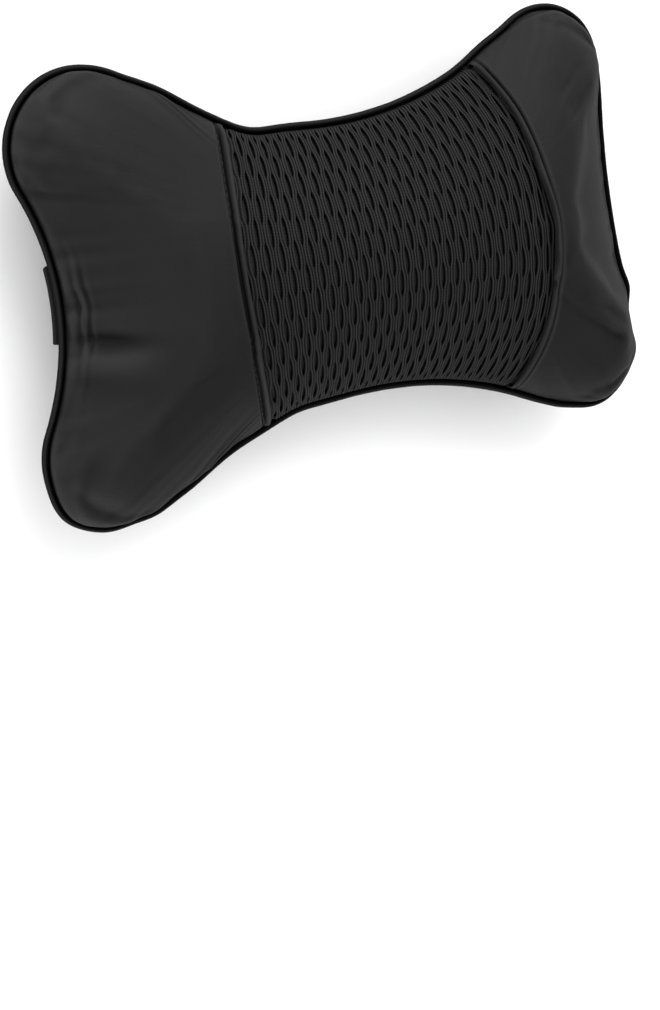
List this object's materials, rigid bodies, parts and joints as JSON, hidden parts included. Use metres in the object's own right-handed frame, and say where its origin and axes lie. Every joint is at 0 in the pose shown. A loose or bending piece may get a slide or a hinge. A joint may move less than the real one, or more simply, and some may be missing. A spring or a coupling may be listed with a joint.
{
  "type": "car neck pillow",
  "caption": "Bone-shaped stuffed car neck pillow with leather-look ends, a woven middle panel, corded piping and an elastic strap across the back.",
  "frame": {"origin": "on the resting plane, under the middle of the outline", "axes": "+X along the pillow's length, +Y towards its upper edge in use, +Z out of its front"},
  "size_m": [0.2893, 0.1802, 0.0717],
  "materials": {
    "leather": "black grained leather-look, soft sheen",
    "woven_mesh": "black woven strands with staggered gaps",
    "lining": "plain black cloth",
    "piping": "black cord cover",
    "elastic": "flat ribbed elastic",
    "stuffing": "white non-woven bag of fibre"
  },
  "bodies": {
    "root": {"front_left_panel": "leather", "front_right_panel": "leather", "front_centre_mesh": "woven_mesh", "centre_lining": "lining", "back_panel": "leather", "edge_piping": "piping", "elastic_strap": "elastic", "inner_cushion": "stuffing"}
  },
  "joints": []
}
